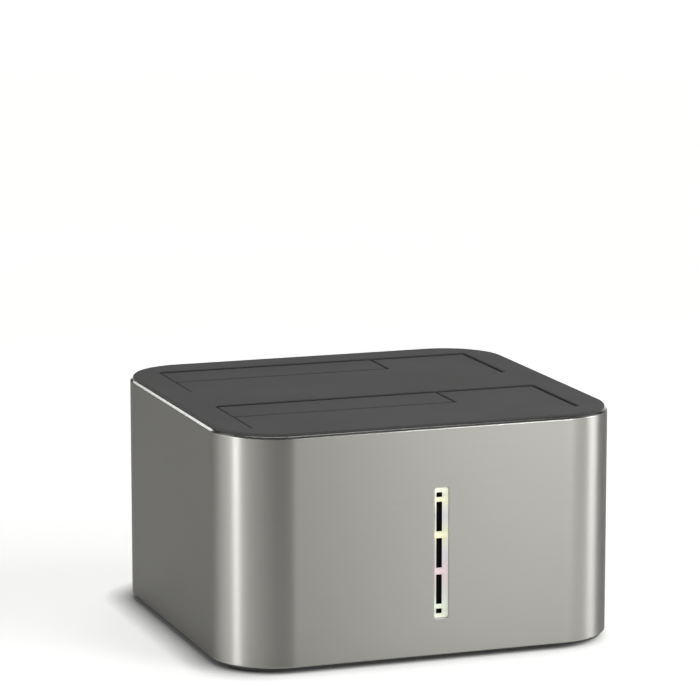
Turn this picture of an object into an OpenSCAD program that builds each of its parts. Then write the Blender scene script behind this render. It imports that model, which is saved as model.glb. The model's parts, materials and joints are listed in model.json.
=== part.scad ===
// Docking station for two bare drives: a satin metal sleeve closed by a dark top cover and a base,
// two drive bays under sprung flaps, and the boards that serve them. Sizes are in millimetres.
// The origin is on the table under the middle of the sleeve, +X to the right seen from the front,
// +Y to the back and +Z up.

/* [Sleeve] */
// Width of the metal sleeve
body_w = 125; // [112:1:145]
// Depth of the metal sleeve
body_d = 120; // [108:1:132]
// Height of the metal sleeve
shell_h = 69; // [62:1:90]
// Radius of the sleeve's upright corners
corner_r = 20; // [14:1:22]
// Wall of the sleeve
shell_wall = 1.6; // [1.2:0.1:1.8]
// Bevel along the sleeve's top edge
rim_bevel = 0.7; // [0.4:0.1:0.9]
// Bevel along the sleeve's bottom edge
foot_bevel = 0.3; // [0.1:0.1:0.5]

/* [Cover and base] */
// Thickness of the top cover
cover_t = 2.6; // [2.4:0.1:3.4]
// Height of the cover's lip above the sleeve
cover_rise = 0.8; // [0.5:0.1:1.2]
// Bevel along the cover's lip
cover_bevel = 0.35; // [0.1:0.05:0.4]
// Bevel along the edges of the mouths and flaps
edge_bevel = 0.3; // [0.1:0.05:0.4]
// Thickness of the base plate
base_t = 2.4; // [2:0.1:4]
// Thickness of the base's lip under the sleeve
base_lip = 0.8; // [0.5:0.1:1.2]
// How far the base's lip stays back from the sleeve's face
base_inset = 1; // [0.6:0.1:1.2]
// Height of the feet below the base
foot_h = 1.2; // [0.8:0.1:3]
// Radius of a foot
foot_r = 6; // [4:0.5:8]
// Depth of the pocket that holds a foot
foot_pocket = 0.8; // [0.4:0.1:1.2]
// Radius of a tie post between cover and base
post_r = 2.4; // [2.2:0.1:2.6]

/* [Bays] */
// Edge of the sleeve and cover on each side of a mouth
side_edge = 10.75; // [10.4:0.05:12]
// Edge of the sleeve and cover before the front mouth and behind the rear one
end_edge = 12; // [11.6:0.1:13]
// Strip of the cover between the two mouths
bay_gap = 22; // [20:0.5:23]
// Corner radius of a mouth
mouth_r = 1.5; // [0.5:0.1:3]
// Width of the small flap's opening, for a drive 69.85 wide
slot_w = 71; // [70.5:0.1:76]
// Depth of the small flap's opening
slot_d = 16.5; // [14:0.5:18]
// Wall of a bay well
well_wall = 1.4; // [1:0.1:1.6]
// Floor of a bay well
well_floor = 2; // [1.6:0.1:3]
// Thickness of a drive guide
guide_t = 1.6; // [1:0.1:3]

/* [Flaps] */
// Thickness of a flap
flap_t = 2; // [1.6:0.1:2.2]
// How far a flap lies below the cover's top
flap_sink = 0.4; // [0.2:0.1:0.6]
// Gap round a flap
flap_gap = 0.5; // [0.4:0.1:0.7]
// Gap at a flap's swinging edge
leaf_gap = 0.8; // [0.8:0.05:1]
// Depth of a flap's stiffening ribs
flap_rib = 1.4; // [0.8:0.1:1.8]
// Radius of a flap's knuckles
knuckle_r = 1.8; // [1.7:0.1:1.9]
// Length of a knuckle
knuckle_l = 22; // [14:1:24]
// Radius of a hinge pin
pin_r = 1; // [0.8:0.05:1.1]
// Distance of a hinge pin outside the mouth's edge
hinge_out = 2; // [1.9:0.1:2.4]
// Thickness of a hinge ear
ear_t = 2.4; // [1.6:0.1:3]

/* [Torsion springs] */
// Turns of a torsion spring
spring_turns = 5; // [3:1:7]
// Pitch of a torsion spring
spring_pitch = 1; // [0.95:0.05:1.3]
// Wire diameter of a torsion spring
wire_d = 0.5; // [0.4:0.05:0.55]
// Radius of a torsion spring at the middle of its wire
coil_r = 1.6; // [1.55:0.05:1.7]
// Length of the spring's leg under the flap
flap_leg = 9; // [6:0.5:12]

/* [Drive sockets] */
// Length of a drive socket
socket_l = 41; // [39:0.5:42]
// Thickness of a drive socket
socket_t = 5.6; // [5:0.1:6.4]
// Height of a drive socket above the bay's floor
socket_rise = 6.4; // [5:0.1:8]
// Pitch of the socket's contacts
contact_pitch = 1.27; // [1.2:0.01:1.3]

/* [Boards] */
// Thickness of the circuit boards
board_t = 1.6; // [1.2:0.1:2]
// Width of the main board
main_w = 84; // [78:1:86]
// Height of the main board's standoffs
standoff_h = 2.8; // [2:0.1:4]
// Height of the bosses between a bay's floor and the connector board
boss_h = 3.6; // [3:0.1:4.4]

/* [Status lights] */
// Place of the light slot to the right of the middle
light_x = 2.85; // [-30:0.05:30]
// Width of the light slot
light_w = 4.4; // [3.6:0.1:6]
// Height of the slot's lower end above the sleeve's edge
light_low = 11.2; // [10:0.1:16]
// Length of the light slot
light_l = 39.4; // [36:0.1:42]
// Length of a dark bar between two lights
bar_l = 9; // [7:0.1:9.2]
// Gap between two dark bars
bar_gap = 2; // [1.6:0.1:2.8]
// Width of a dark bar
bar_w = 1.85; // [1.4:0.05:2.2]
// Distance of the dark bars from the slot's left side
bar_in = 0.6; // [0.3:0.05:0.8]
// Length of the dark dot at each end of the slot
dot_l = 1.5; // [0.8:0.1:1.8]

/* [Back panel] */
// Width of the window in the sleeve's back
window_w = 68; // [64:1:74]
// Height of the window
window_h = 14; // [13.6:0.1:15]
// Spacing of the ports and buttons
port_pitch = 16; // [14:0.5:17]
// How far the panel's face lies inside the sleeve's face
panel_sink = 1; // [0.8:0.1:1.4]
// Radius of the power button
power_r = 3.4; // [2.6:0.1:4]
// Radius of the copy button
copy_r = 2.6; // [2:0.1:3.4]
// Travel of the buttons
button_travel = 1.2; // [0.8:0.1:1.4]

/* [Hidden] */
$fn = 48;

sleeve_grey = [0.62, 0.62, 0.6];
cover_grey = [0.32, 0.32, 0.32];
inner_black = [0.12, 0.12, 0.13];
rubber_black = [0.08, 0.08, 0.08];
steel = [0.72, 0.73, 0.75];
board_green = [0.05, 0.28, 0.16];
chip_black = [0.1, 0.1, 0.11];
gold = [0.85, 0.68, 0.3];

// Clearances: pieces that slip together, pins in flaps, screws in their holes, and free air
fit_gap = 0.15;
run_gap = 0.05;
screw_gap = 0.02;
air = 0.4;
cut = 0.1;

// Heights of the stacked pieces
base_top = foot_h + base_t;
shell_z = foot_h + base_lip;
rim_z = shell_z + shell_h;
top_z = rim_z + cover_rise;
cover_z = top_z - cover_t;
rim_line = 0.2;
lip_inset = rim_bevel + rim_line;

// Bays: places are measured from the middle of a mouth, which takes a drive 101.6 wide
mouth_w = body_w - 2 * side_edge;
mouth_d = (body_d - bay_gap) / 2 - end_edge;
bay_pitch = mouth_d + bay_gap;
bay_ys = [-bay_pitch / 2, bay_pitch / 2];
hinge_z = cover_z - air - knuckle_r;
hinge_y = mouth_d / 2 + hinge_out;
flap_top = top_z - flap_sink;
slot_edge = slot_w - mouth_w / 2;
flap_r = 0.8;
rib_t = 1.2;
web_in = 0.9;
web_d = 2.7;
tongue_w = 14;
stop_reach = 0.9;
stop_t = 1.4;
stop_w = 4;
stop_at = 6;
well_x = mouth_w / 2 + stop_reach + 2 * air;
well_y = hinge_y + knuckle_r + air;
well_r = 3;
well_out = well_x + well_wall;
swing = mouth_d + hinge_out + stop_reach + air;
floor_z = hinge_z - swing;
floor_under = floor_z - well_floor;

// Standard drives: the connector's place from the drive's left side and from its back face
drive_side = 30.12;
drive_face = 3.5;
drive_play = 0.95;
drive_space = 3;
drive_back = mouth_d / 2 - drive_space;
socket_x = drive_side + drive_play - mouth_w / 2;
socket_y = drive_back - drive_face;
socket_play = 0.3;
guide_top = hinge_z - hinge_out - slot_d - air;
guide_in = 6;

// Fixing line in the space between the wells and the sleeve
sleeve_in_x = body_w / 2 - shell_wall;
sleeve_in_y = body_d / 2 - shell_wall;
post_x = (well_out + sleeve_in_x) / 2;
tab_y = 10;
tab_t = 2.4;
tab_r = 2.3;
spigot_r = 1.2;
spigot_l = 1.6;
screw_r = 1;
head_r = 1.9;
head_h = 1.2;
base_screw_l = 9;

// Boards
main_z = base_top + standoff_h;
main_top = main_z + board_t;
link_top = floor_under - boss_h;
link_z = link_top - board_t;
boss_r = 2.2;
boss_x = socket_l / 2 + boss_r + air;
link_w = 2 * (boss_x + boss_r);
link_edge = 5;
main_front = air - sleeve_in_y;
panel_t = 2;
panel_y = sleeve_in_y - fit_gap - panel_t;
panel_rib = 2.4;
main_back = panel_y - panel_rib - air;
standoff_r = 2.6;
main_hole_in = 14;
main_hole_x = main_w / 2 - 1.5 * standoff_r;
main_hole_y = [main_front + main_hole_in, main_back - main_hole_in];

// Status lights, from the sleeve's front inwards
guide_back = 1;
led_t = 0.8;
led_w = 2;
led_l = 1.6;
light_board_t = 1.2;
light_z = shell_z + light_low;
guide_y = -sleeve_in_y + guide_back;
light_board_y = guide_y + led_t;
light_ends = (light_l - 3 * bar_l - 2 * bar_gap) / 2;
light_r = 0.8;
light_sink = 0.3;
light_flange = 1.4;
light_board_w = light_w + 4 * light_flange;
light_header_h = 2.4;
light_zs = [light_ends / 2, light_ends + bar_l + bar_gap / 2,
    light_ends + 2 * bar_l + 1.5 * bar_gap, light_l - light_ends / 2];
// Dark pieces up the slot, each as its middle and its length
dark_runs = [[light_zs[0], dot_l], [light_ends + bar_l / 2, bar_l], [light_l / 2, bar_l],
    [light_l - light_ends - bar_l / 2, bar_l], [light_zs[3], dot_l]];

// Back ports, left to right seen from the front
copy_x = -1.5 * port_pitch;
data_x = -0.5 * port_pitch;
power_x = 0.5 * port_pitch;
inlet_x = 1.5 * port_pitch;
window_r = 2;
window_z = main_top - window_r;
panel_rib_w = 4;
panel_w = window_w + 2 * panel_rib_w;
panel_h = window_z + window_h + panel_t - base_top;
panel_rib_x = panel_w / 2 - panel_rib_w;
panel_face = body_d / 2 - panel_sink;
panel_hole = panel_face - panel_y + 2 * cut;
button_z = main_top + 5;
button_proud = 0.7;
flange_r = 1;
flange_t = 1;
stem_r = 1.2;
stem_l = 3.4;
cap_bevel = 0.4;
switch_w = 7.6;
switch_l = 6;
switch_y = panel_y - air / 4 - flange_t - button_travel - air;

// Flat shape with round corners
module rounded_rect(w, d, r) {
    square([w - 2 * r, d], center = true);
    square([w, d - 2 * r], center = true);
    for (x = [-1, 1], y = [-1, 1])
        translate([x * (w / 2 - r), y * (d / 2 - r)]) circle(r);
}

// Flat shape with round ends, lying along X
module stadium(w, h) {
    square([w - h, h], center = true);
    for (x = [-1, 1]) translate([x * (w - h) / 2, 0]) circle(h / 2);
}

module sleeve_outline(inset) {
    rounded_rect(body_w - 2 * inset, body_d - 2 * inset, corner_r - inset);
}

// Carries a profile round a rectangle: X is the distance inwards from its edge, Y is the height
module round_frame(w, d, r) {
    for (side = [0:3]) {
        along = side % 2 == 0 ? w : d;
        away = side % 2 == 0 ? d : w;
        rotate(side * 90) {
            translate([r - along / 2, -away / 2, 0])
                rotate([90, 0, 90]) linear_extrude(along - 2 * r) children();
            translate([along / 2 - r, r - away / 2, 0])
                rotate(-90) rotate_extrude(angle = 90, $fn = 96)
                    translate([r, 0]) mirror([1, 0]) children();
        }
    }
}

// Corner to cut off a top edge at height z: the solid lies towards +X, or towards -X for a hole's edge
module bevel_corner(z, size, way) {
    polygon([[-way * cut, z + cut], [way * (size + cut), z + cut], [-way * cut, z - size - cut]]);
}

// Upright plate in the XZ plane, its face towards the front
module upright(t) {
    rotate([90, 0, 0]) translate([0, 0, -t]) linear_extrude(t) children();
}

// Profile in the YZ plane, carried along X
module along_x(x0, l) {
    translate([x0, 0, 0]) rotate([90, 0, 90]) linear_extrude(l) children();
}

module rod_x(x0, l, r) {
    translate([x0, 0, 0]) rotate([0, 90, 0]) cylinder(h = l, r = r);
}

module rod_y(y0, l, r) {
    translate([0, y0, 0]) rotate([-90, 0, 0]) cylinder(h = l, r = r);
}

// Screw standing on its head, with a cross recess
module screw(l) {
    cross_l = head_r * 1.2;
    cross_w = head_r * 0.24;
    difference() {
        union() {
            cylinder(h = head_h, r = head_r);
            cylinder(h = head_h + l, r = screw_r);
        }
        for (a = [0, 90]) rotate(a) translate([-cross_l / 2, -cross_w / 2, -cut])
            cube([cross_l, cross_w, head_h / 2 + cut]);
    }
}

// Housing

module outer_shell() {
    color(sleeve_grey) difference() {
        round_frame(body_w, body_d, corner_r)
            polygon([[0, shell_z + foot_bevel], [foot_bevel, shell_z], [shell_wall, shell_z],
                [shell_wall, rim_z], [rim_bevel, rim_z], [0, rim_z - rim_bevel]]);
        translate([light_x, -body_d / 2 - cut, light_z + light_l / 2])
            upright(shell_wall + 2 * cut) rounded_rect(light_w, light_l, light_r);
        translate([0, sleeve_in_y - cut, window_z + window_h / 2])
            upright(shell_wall + 2 * cut) rounded_rect(window_w, window_h, window_r);
    }
}

module top_cover() {
    color(cover_grey) difference() {
        union() {
            difference() {
                union() {
                    translate([0, 0, rim_z]) linear_extrude(cover_rise) sleeve_outline(lip_inset);
                    translate([0, 0, cover_z]) linear_extrude(rim_z - cover_z)
                        sleeve_outline(shell_wall + fit_gap);
                }
                round_frame(body_w - 2 * lip_inset, body_d - 2 * lip_inset, corner_r - lip_inset)
                    bevel_corner(top_z, cover_bevel, 1);
                for (y = bay_ys) translate([0, y, 0]) {
                    translate([0, 0, cover_z - cut]) linear_extrude(cover_t + 2 * cut)
                        rounded_rect(mouth_w, mouth_d, mouth_r);
                    round_frame(mouth_w, mouth_d, mouth_r) bevel_corner(top_z, edge_bevel, -1);
                }
            }
            for (y = bay_ys) translate([0, y, 0]) {
                hinge_ears(hinge_y, [-mouth_w / 2, slot_edge]);
                hinge_ears(-hinge_y, [-mouth_w / 2, mouth_w / 2]);
            }
        }
        for (x = [-1, 1], y = bay_ys) translate([x * post_x, y, cover_z]) {
            translate([0, 0, -cut]) cylinder(h = spigot_l + air + cut, r = spigot_r + screw_gap);
            for (side = [-1, 1]) translate([0, side * tab_y, -cut])
                cylinder(h = cover_t - head_h + cut, r = screw_r + screw_gap);
        }
    }
}

// Two ears under the cover hold the ends of a hinge pin
module hinge_ears(y, span) {
    for (x = [span[0] + air, span[1] - air - ear_t]) along_x(x, ear_t) difference() {
        union() {
            translate([y, hinge_z]) circle(knuckle_r);
            translate([y - knuckle_r, hinge_z]) square([2 * knuckle_r, cover_z - hinge_z + cut]);
        }
        translate([y, hinge_z]) circle(pin_r + screw_gap);
    }
}

module base_plate() {
    color(inner_black) difference() {
        union() {
            translate([0, 0, foot_h]) linear_extrude(base_lip) sleeve_outline(base_inset);
            translate([0, 0, shell_z]) linear_extrude(base_top - shell_z)
                sleeve_outline(shell_wall + fit_gap);
            main_holes() cylinder(h = standoff_h, r = standoff_r);
            for (x = [-1, 1]) translate([x * panel_rib_x - panel_rib_w / 2, panel_y - panel_rib, base_top])
                cube([panel_rib_w, panel_rib, panel_h * 0.6]);
        }
        feet_places() translate([0, 0, -cut]) cylinder(h = foot_pocket + cut, r = foot_r + fit_gap);
        for (x = [-1, 1], y = bay_ys) translate([x * post_x, y, foot_h - cut]) {
            cylinder(h = base_t + 2 * cut, r = screw_r + fit_gap);
            cylinder(h = head_h + cut, r = head_r + fit_gap);
        }
        main_holes() translate([0, 0, cut - base_t + head_h])
            cylinder(h = base_t + standoff_h, r = screw_r + screw_gap);
    }
}

// Places of the main board's screws, on top of the base
module main_holes() {
    for (x = [-1, 1], y = main_hole_y) translate([x * main_hole_x, y, base_top]) children();
}

// Places of the feet, on the base's underside
module feet_places() {
    foot_in = corner_r * 0.9;
    for (x = [-1, 1], y = [-1, 1])
        translate([x * (body_w / 2 - foot_in), y * (body_d / 2 - foot_in), foot_h]) children();
}

module rubber_feet() {
    color(rubber_black) feet_places() translate([0, 0, -foot_h])
        rotate_extrude() polygon([[0, 0], [foot_r - foot_h / 2, 0], [foot_r, foot_h / 2],
            [foot_r, foot_h + foot_pocket], [0, foot_h + foot_pocket]]);
}

module tie_posts() {
    color(steel) for (x = [-1, 1], y = bay_ys) translate([x * post_x, y, base_top]) difference() {
        union() {
            cylinder(h = cover_z - base_top, r = post_r);
            cylinder(h = cover_z - base_top + spigot_l, r = spigot_r);
        }
        translate([0, 0, -cut]) cylinder(h = base_screw_l, r = screw_r + screw_gap);
    }
}

module base_screws() {
    color(steel) for (x = [-1, 1], y = bay_ys) translate([x * post_x, y, foot_h])
        screw(base_screw_l - head_h);
}

// Bay wells

module bay_well(y) {
    color(inner_black) translate([0, y, 0]) difference() {
        union() {
            translate([0, 0, floor_under]) linear_extrude(cover_z - floor_under) difference() {
                rounded_rect(2 * well_out, 2 * (well_y + well_wall), well_r);
                rounded_rect(2 * well_x, 2 * well_y, well_r - well_wall);
            }
            translate([0, 0, floor_under]) linear_extrude(well_floor)
                rounded_rect(2 * well_x + well_wall, 2 * well_y + well_wall, well_r - well_wall / 2);
            drive_guides();
            for (side = [-1, 1]) translate([socket_x + side * boss_x, socket_y, link_top])
                cylinder(h = boss_h + cut, r = boss_r);
            well_tabs();
        }
        translate([socket_x, socket_y, floor_under - cut]) linear_extrude(well_floor + 2 * cut)
            square([socket_l + 2 * socket_play, socket_t + 2 * socket_play], center = true);
        for (side = [-1, 1]) translate([socket_x + side * boss_x, socket_y, link_top - cut])
            cylinder(h = boss_h + cut, r = screw_r + screw_gap);
        for (x = [-1, 1], side = [-1, 1]) translate([x * post_x, side * tab_y, cover_z - tab_t - cut])
            cylinder(h = tab_t + 2 * cut, r = screw_r + fit_gap);
    }
}

// Upright guides with a sloped lead-in: behind the drive, and on both sides of it
module drive_guides() {
    back_d = well_y - drive_back - socket_play;
    side_d = well_x - mouth_w / 2 - flap_gap;
    for (x = [guide_in - mouth_w / 2, slot_edge - guide_in, mouth_w / 2 - guide_in])
        along_x(x - guide_t / 2, guide_t) polygon([[well_y + cut, floor_z - cut],
            [well_y - back_d, floor_z - cut], [well_y - back_d, guide_top - back_d],
            [well_y + cut, guide_top + cut]]);
    for (s = [-1, 1], y = [-0.3, 0.3]) translate([0, y * mouth_d, 0]) mirror([s < 0 ? 1 : 0, 0, 0])
        upright(guide_t) polygon([[well_x + cut, floor_z - cut], [well_x - side_d, floor_z - cut],
            [well_x - side_d, guide_top - side_d], [well_x + cut, guide_top + cut]]);
}

// Four tabs outside the well, screwed up against the cover
module well_tabs() {
    for (s = [-1, 1], side = [-1, 1])
        translate([s * post_x, side * tab_y, cover_z - tab_t]) linear_extrude(tab_t) {
            circle(tab_r);
            translate([s > 0 ? well_x - post_x + cut : 0, -tab_r])
                square([post_x - well_x - cut, 2 * tab_r]);
        }
}

module front_bay_well() { bay_well(bay_ys[0]); }
module rear_bay_well() { bay_well(bay_ys[1]); }

module well_screws() {
    reach = tab_t + cover_t - head_h - air;
    color(steel) for (x = [-1, 1], y = bay_ys, side = [-1, 1])
        translate([x * post_x, y + side * tab_y, cover_z - tab_t - head_h])
            screw(reach);
}

// Flaps: both lie level in the mouth and swing down on pins hidden under the cover

// Knuckles, with the webs that carry the flap, for a flap that lies in front of its pin
module flap_knuckles(span) {
    plate_z = flap_top - flap_t - hinge_z;
    near = hinge_out + flap_gap + web_in;
    for (x = [span[0] + 2 * air + ear_t, span[1] - 2 * air - ear_t - knuckle_l])
        translate([0, hinge_y, hinge_z]) along_x(x, knuckle_l) difference() {
            union() {
                circle(knuckle_r);
                polygon([[-knuckle_r * cos(45), knuckle_r * sin(45)], [-near, plate_z],
                    [-near, plate_z + flap_t / 2], [-near - web_d, plate_z + flap_t / 2],
                    [-near - web_d, plate_z], [-knuckle_r * sin(20), -knuckle_r * cos(20)]]);
            }
            circle(pin_r + run_gap);
        }
}

// Stop under a flap's edge, which meets the cover's underside from below; it points to -X
module flap_stop(w, gap) {
    plate_z = flap_top - flap_t;
    stop_z = cover_z - fit_gap - stop_t;
    translate([gap, -w / 2, stop_z]) cube([stop_w * 0.75, w, plate_z - stop_z + cut]);
    translate([-stop_reach, -w / 2, stop_z]) cube([stop_reach + gap + cut, w, stop_t]);
}

module small_flap(y) {
    w = slot_w - flap_gap;
    d = slot_d - flap_gap;
    plate_z = flap_top - flap_t;
    color(cover_grey) translate([0, y, 0]) {
        translate([flap_gap - mouth_w / 2 + w / 2, mouth_d / 2 - flap_gap - d / 2, 0]) difference() {
            translate([0, 0, plate_z]) linear_extrude(flap_t) rounded_rect(w, d, flap_r);
            round_frame(w, d, flap_r) bevel_corner(flap_top, edge_bevel, 1);
        }
        flap_knuckles([-mouth_w / 2, slot_edge]);
        translate([-mouth_w / 2, mouth_d / 2 - stop_at - stop_w / 2, 0]) flap_stop(stop_w, flap_gap);
        translate([flap_gap - mouth_w / 2 + stop_w, mouth_d / 2 - slot_d + rib_t, plate_z - flap_rib])
            cube([w - 2 * stop_w, rib_t, flap_rib + cut]);
    }
}

module large_flap(y) {
    w = mouth_w - 2 * flap_gap;
    d = mouth_d - flap_gap - leaf_gap;
    plate_z = flap_top - flap_t;
    cut_x = slot_edge + flap_gap;
    cut_y = mouth_d / 2 - slot_d - leaf_gap;
    color(cover_grey) translate([0, y, 0]) {
        difference() {
            translate([0, (flap_gap - leaf_gap) / 2, 0]) difference() {
                translate([0, 0, plate_z]) linear_extrude(flap_t) rounded_rect(w, d, flap_r);
                round_frame(w, d, flap_r) bevel_corner(flap_top, edge_bevel, 1);
            }
            translate([-mouth_w / 2, cut_y, plate_z - cut])
                cube([slot_w + flap_gap, mouth_d, flap_t + 2 * cut]);
            along_x(-mouth_w / 2, slot_w + flap_gap) translate([cut_y, 0])
                bevel_corner(flap_top, edge_bevel, -1);
            translate([cut_x, cut_y, 0]) rotate([90, 0, 180]) linear_extrude(mouth_d)
                bevel_corner(flap_top, edge_bevel, -1);
        }
        mirror([0, 1, 0]) flap_knuckles([-mouth_w / 2, mouth_w / 2]);
        translate([-mouth_w / 2, stop_at + stop_w / 2 - mouth_d / 2, 0]) flap_stop(stop_w, flap_gap);
        translate([(slot_edge + mouth_w / 2) / 2, mouth_d / 2, 0]) rotate(-90)
            flap_stop(tongue_w, leaf_gap);
        translate([stop_w - mouth_w / 2, cut_y - 2 * rib_t, plate_z - flap_rib])
            cube([mouth_w - 2 * stop_w, rib_t, flap_rib + cut]);
        translate([cut_x + rib_t, cut_y - 2 * rib_t, plate_z - flap_rib])
            cube([rib_t, slot_d - stop_w, flap_rib + cut]);
    }
}

module front_large_flap() { large_flap(bay_ys[0]); }
module front_small_flap() { small_flap(bay_ys[0]); }
module rear_large_flap() { large_flap(bay_ys[1]); }
module rear_small_flap() { small_flap(bay_ys[1]); }

module hinge_pin(y, span) {
    color(steel) translate([0, y, hinge_z])
        rod_x(span[0] + air, span[1] - span[0] - 2 * air, pin_r);
}

module front_large_pin() { hinge_pin(bay_ys[0] - hinge_y, [-mouth_w / 2, mouth_w / 2]); }
module front_small_pin() { hinge_pin(bay_ys[0] + hinge_y, [-mouth_w / 2, slot_edge]); }
module rear_large_pin() { hinge_pin(bay_ys[1] - hinge_y, [-mouth_w / 2, mouth_w / 2]); }
module rear_small_pin() { hinge_pin(bay_ys[1] + hinge_y, [-mouth_w / 2, slot_edge]); }

// Torsion springs: the wire comes in under the cover, winds round the pin and leaves under the flap

cover_leg = well_y - hinge_y - wire_d;
flap_lean = asin((flap_top - flap_t - hinge_z - coil_r - wire_d / 2 - run_gap) / flap_leg);
cover_lean = asin((knuckle_r + air - coil_r - wire_d / 2 - run_gap) / cover_leg);
turn_rings = 8;
wire_sides = 6;
turn_from = 90 + cover_lean;
turn_to = 90 - flap_lean + 360 * spring_turns;
coil_rings = turn_rings * spring_turns;

function coil_point(a) =
    [spring_pitch * ((a - turn_from) / 360 - spring_turns / 2), coil_r * cos(a), coil_r * sin(a)];

wire_path = concat(
    [coil_point(turn_from) + cover_leg * [0, sin(turn_from), -cos(turn_from)]],
    [for (i = [0:coil_rings]) coil_point(turn_from + (turn_to - turn_from) * i / coil_rings)],
    [coil_point(turn_to) + flap_leg * [0, -sin(turn_to), cos(turn_to)]]);
wire_last = len(wire_path) - 1;

function unit(v) = v / norm(v);
function wire_heading(i) =
    unit(wire_path[min(i + 1, wire_last)] - wire_path[max(i - 1, 0)]);

// One ring of points round the wire; the coil's axis keeps the rings from twisting
function wire_ring(i) =
    let (d = wire_heading(i), n = unit([1, 0, 0] - d[0] * d), b = cross(d, n))
    [for (k = [0:wire_sides - 1])
        wire_path[i] + wire_d / 2 * (n * cos(360 * k / wire_sides) + b * sin(360 * k / wire_sides))];

wire_self_gap = min([for (i = [0:wire_last]) for (j = [i + turn_rings / 2:1:wire_last])
    norm(wire_path[i] - wire_path[j])]) - wire_d;
echo(str("Least gap of a torsion spring to itself: ", wire_self_gap, " mm"));

module torsion_spring() {
    s = wire_sides;
    points = [for (i = [0:wire_last]) each wire_ring(i)];
    ends = wire_last * s;
    faces = concat(
        [for (k = [1:s - 2]) [0, k, k + 1]],
        [for (k = [1:s - 2]) [ends, ends + k + 1, ends + k]],
        [for (i = [0:wire_last - 1]) for (k = [0:s - 1])
            let (a = i * s + k, b = i * s + (k + 1) % s) each [[a, a + s, b], [b, a + s, b + s]]]);
    polyhedron(points, faces);
}

module small_spring(y) {
    color(steel) translate([(slot_edge - mouth_w / 2) / 2, y + hinge_y, hinge_z]) torsion_spring();
}

module large_spring(y) {
    color(steel) translate([0, y - hinge_y, hinge_z]) mirror([0, 1, 0]) torsion_spring();
}

module front_large_spring() { large_spring(bay_ys[0]); }
module front_small_spring() { small_spring(bay_ys[0]); }
module rear_large_spring() { large_spring(bay_ys[1]); }
module rear_small_spring() { small_spring(bay_ys[1]); }

// Drive sockets and the board that carries them

module connector_board() {
    color(board_green) difference() {
        translate([socket_x - link_w / 2, bay_ys[0] + socket_y - link_edge, link_z])
            cube([link_w, bay_pitch + 2 * link_edge, board_t]);
        link_holes() translate([0, 0, -cut]) cylinder(h = board_t + 2 * cut, r = screw_r + fit_gap);
    }
}

// Places of the connector board's screws, on its underside
module link_holes() {
    for (y = bay_ys, side = [-1, 1])
        translate([socket_x + side * boss_x, y + socket_y, link_z]) children();
}

module connector_screws() {
    color(steel) link_holes() translate([0, 0, -head_h])
        screw(board_t + boss_h - air);
}

// Contacts of the data part and of the power part, from the left end of the socket
signal_count = 7;
power_count = 15;
key_gap = 2.4;
key_w = 1;
key_d = 0.8;
slot_end = 0.5;
socket_bevel = 0.8;
contact_w = 0.6;
contact_t = 0.4;
tongue_t = 2.2;
tongue_d = 5.6;
contact_l = 4.8;
signal_l = signal_count * contact_pitch + 2 * slot_end;
power_l = power_count * contact_pitch + 2 * slot_end;
tongue_x = -(signal_l + key_gap + power_l) / 2;

// Two slots, each with a key at its left end
module socket_slots() {
    for (run = [[0, signal_l], [signal_l + key_gap, power_l]])
        translate([tongue_x + run[0], -tongue_t / 2, 0]) {
            cube([run[1], tongue_t, tongue_d + cut]);
            cube([key_w, tongue_t + key_d, tongue_d + cut]);
        }
}

module drive_socket(y) {
    h = floor_z + socket_rise - link_top;
    end_bevel = (socket_l - signal_l - power_l - key_gap) / 2 - socket_bevel;
    color(inner_black) translate([socket_x, y + socket_y, link_top]) difference() {
        translate([-socket_l / 2, -socket_t / 2, 0]) cube([socket_l, socket_t, h]);
        translate([0, 0, h - tongue_d]) socket_slots();
        for (s = [-1, 1]) translate([0, s * socket_t / 2, h]) rotate([45, 0, 0])
            cube([socket_l + 2 * cut, socket_bevel, socket_bevel], center = true);
        for (s = [-1, 1]) translate([s * socket_l / 2, 0, h]) rotate([0, 45, 0])
            cube([end_bevel, socket_t + 2 * cut, end_bevel], center = true);
    }
}

module contacts(y) {
    z = floor_z + socket_rise - tongue_d;
    color(gold) translate([socket_x, y + socket_y, z]) {
        for (i = [0:signal_count - 1]) contact(tongue_x + slot_end + (i + 0.5) * contact_pitch);
        for (i = [0:power_count - 1])
            contact(tongue_x + signal_l + key_gap + slot_end + (i + 0.5) * contact_pitch);
    }
}

module contact(x) {
    translate([x - contact_w / 2, -tongue_t / 2, 0]) cube([contact_w, contact_t, contact_l]);
}

module front_drive_socket() { drive_socket(bay_ys[0]); }
module rear_drive_socket() { drive_socket(bay_ys[1]); }
module front_contacts() { contacts(bay_ys[0]); }
module rear_contacts() { contacts(bay_ys[1]); }

// Header that joins the two boards
header_l = 26;
header_t = 5;
header_back = 6;

module board_header() {
    color(inner_black) translate([socket_x - header_l / 2, socket_y - header_back, main_top])
        cube([header_l, header_t, link_z - main_top]);
}

// Main board and what stands on it

module main_board() {
    color(board_green) difference() {
        translate([-main_w / 2, main_front, main_z]) cube([main_w, main_back - main_front, board_t]);
        main_holes() translate([0, 0, standoff_h - cut])
            cylinder(h = board_t + 2 * cut, r = screw_r + fit_gap);
    }
}

module main_screws() {
    color(steel) main_holes() translate([0, 0, standoff_h + board_t + head_h]) mirror([0, 0, 1])
        screw(board_t + standoff_h);
}

// Sizes and places of what stands on the main board
chip_t = 1.2;
chip_foot = 0.8;
chip_y = -18;
bridge_w = 10;
copy_w = 8;
copy_chip_x = 14;
memory_w = 4;
memory_d = 5;
memory_y = -34;
crystal_w = 3.2;
crystal_d = 5;
crystal_gap = 14;
supply_pitch = 12;
coil_x = 22;
coil_w = 7;
coil_h = 4.2;
can_x = 34;
can_r = 4;
can_h = 8;
can_groove = 0.4;

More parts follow.
